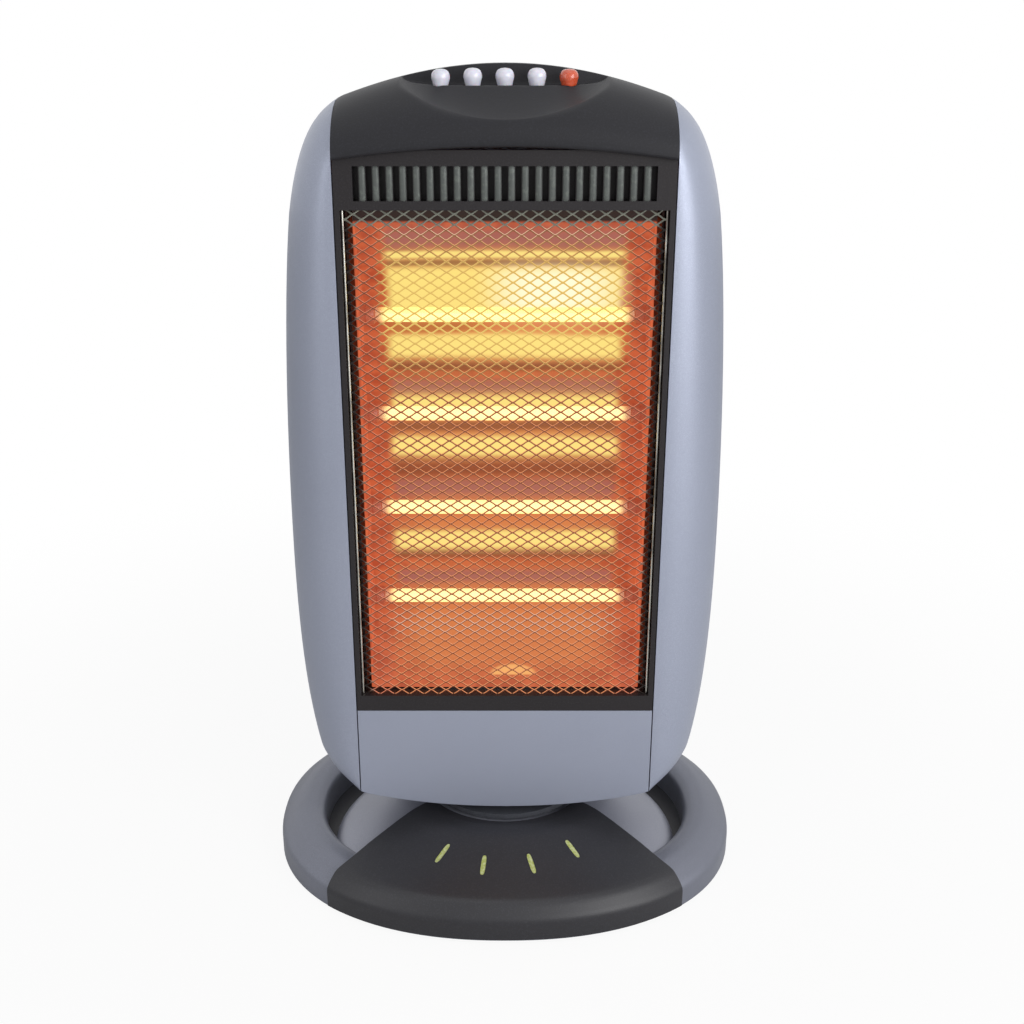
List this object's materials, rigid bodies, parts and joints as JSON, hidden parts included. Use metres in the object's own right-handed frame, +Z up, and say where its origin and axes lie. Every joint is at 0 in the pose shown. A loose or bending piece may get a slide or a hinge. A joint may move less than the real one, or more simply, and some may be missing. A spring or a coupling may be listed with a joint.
{
  "type": "halogen heater",
  "caption": "Tall floor heater: glowing halogen tubes behind a diamond mesh guard, buttons on top, and an oval base that the head swings on.",
  "frame": {"origin": "middle of the base on the floor, on the axis that the head swings about", "axes": "+X to the right seen from the front, +Y to the back, +Z up"},
  "size_m": [0.356, 0.2862, 0.586],
  "materials": {
    "grey_plastic": "satin silver-grey moulded plastic with a fine metallic fleck",
    "black_plastic": "satin black moulded plastic",
    "base_black": "plain black moulded plastic",
    "chrome_wire": "bright chromed steel mesh",
    "reflector_sheet": "polished aluminium sheet",
    "steel": "zinc-plated sheet steel",
    "quartz": "clear quartz tube",
    "filament_wire": "glowing tungsten coil",
    "ceramic": "unglazed cream ceramic",
    "white_button": "glossy white plastic",
    "orange_button": "glossy orange-red plastic",
    "acetal": "natural acetal",
    "rubber": "matt black rubber"
  },
  "bodies": {
    "base": {"base_shell": "grey_plastic", "base_front_cover": "black_plastic", "base_plate": "base_black", "foot_1": "rubber", "foot_2": "rubber", "foot_3": "rubber", "foot_4": "rubber", "base_screw_1": "steel", "base_screw_2": "steel", "base_screw_3": "steel", "base_screw_4": "steel", "bearing_ring": "acetal", "swing_motor": "steel", "tip_switch": "base_black"},
    "head": {"top_cover": "black_plastic", "front_frame": "black_plastic", "side_panel_left": "grey_plastic", "side_panel_right": "grey_plastic", "lower_panel": "grey_plastic", "rear_housing": "grey_plastic", "rear_screw_1": "steel", "rear_screw_2": "steel", "rear_screw_3": "steel", "rear_screw_4": "steel", "cord_gland": "rubber", "mesh_guard": "chrome_wire", "reflector": "reflector_sheet", "tube_carrier_left": "steel", "tube_carrier_right": "steel", "halogen_tube_1": "quartz", "halogen_tube_2": "quartz", "halogen_tube_3": "quartz", "halogen_tube_4": "quartz", "filament_1": "filament_wire", "filament_2": "filament_wire", "filament_3": "filament_wire", "filament_4": "filament_wire", "end_cap_1_left": "ceramic", "end_cap_1_right": "ceramic", "end_cap_2_left": "ceramic", "end_cap_2_right": "ceramic", "end_cap_3_left": "ceramic", "end_cap_3_right": "ceramic", "end_cap_4_left": "ceramic", "end_cap_4_right": "ceramic", "thermal_cutout": "steel", "switch_block": "black_plastic", "terminal_block": "ceramic", "head_neck": "grey_plastic", "sector_gear": "acetal", "neck_retaining_ring": "steel"},
    "button_1": {"button_1": "white_button"},
    "button_2": {"button_2": "white_button"},
    "button_3": {"button_3": "white_button"},
    "button_4": {"button_4": "white_button"},
    "button_5": {"button_5": "orange_button"},
    "drive_pinion": {"drive_pinion": "acetal"},
    "tip_plunger": {"tip_plunger": "acetal"}
  },
  "joints": [
    {"name": "head_swing", "type": "hinge", "parent": "base", "child": "head", "pos_m": [0, 0, 0.05], "axis": [0, 0, 1], "range_deg": [-35, 35]},
    {"name": "button_1_press", "type": "slide", "parent": "head", "child": "button_1", "axis": [0, 0, -1], "range_m": [0, 0.004], "stiffness_N_per_m": 300, "springref_m": -0.002},
    {"name": "button_2_press", "type": "slide", "parent": "head", "child": "button_2", "axis": [0, 0, -1], "range_m": [-0.0025, 0.0015]},
    {"name": "button_3_press", "type": "slide", "parent": "head", "child": "button_3", "axis": [0, 0, -1], "range_m": [-0.0025, 0.0015]},
    {"name": "button_4_press", "type": "slide", "parent": "head", "child": "button_4", "axis": [0, 0, -1], "range_m": [-0.0025, 0.0015]},
    {"name": "button_5_press", "type": "slide", "parent": "head", "child": "button_5", "axis": [0, 0, -1], "range_m": [0, 0.004], "stiffness_N_per_m": 300, "springref_m": -0.002},
    {"name": "pinion_turn", "type": "hinge", "parent": "base", "child": "drive_pinion", "pos_m": [0, -0.0527, 0.03], "axis": [0, 0, 1], "range_deg": [-118.5, 118.5]},
    {"name": "tip_plunger_slide", "type": "slide", "parent": "base", "child": "tip_plunger", "axis": [0, 0, -1], "range_m": [0, 0.006], "stiffness_N_per_m": 20, "springref_m": 0.008}
  ],
  "couplings": [
    {"joint": "pinion_turn", "follows": "head_swing", "ratio": -3.375}
  ]
}
